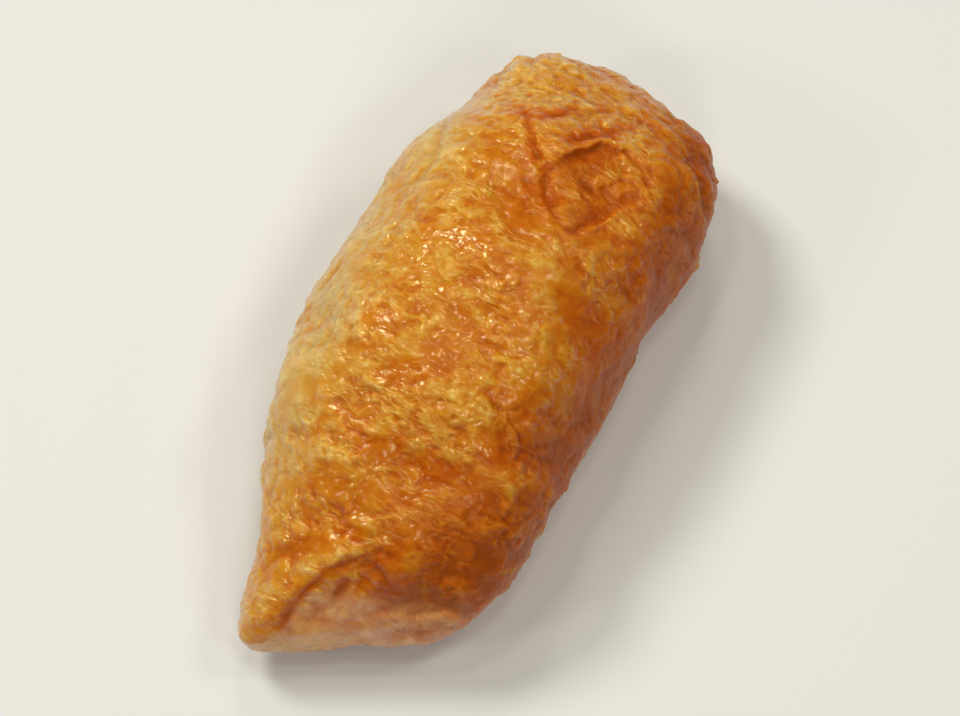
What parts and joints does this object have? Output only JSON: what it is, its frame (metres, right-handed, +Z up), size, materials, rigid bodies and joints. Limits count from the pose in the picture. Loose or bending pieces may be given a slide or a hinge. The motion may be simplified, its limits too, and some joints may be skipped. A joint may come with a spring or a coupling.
{
  "type": "inari sushi",
  "caption": "Stuffed pouch of simmered fried bean curd, closed over vinegared rice, with one gathered end pinched to an ear: a hand-held piece of sushi.",
  "frame": {"origin": "middle of the bounding box, on the surface that the piece rests on", "axes": "+X along the pouch from the gathered end with the ear to the blunt closed end, +Y to the pouch's left side, +Z up from the flat underside"},
  "size_m": [0.0812, 0.0376, 0.031],
  "materials": {
    "bean_curd_skin": "moist, wrinkled fried bean curd skin, golden orange-brown, satin with small wet glints"
  },
  "bodies": {
    "root": {"inari_pouch": "bean_curd_skin"}
  },
  "joints": []
}
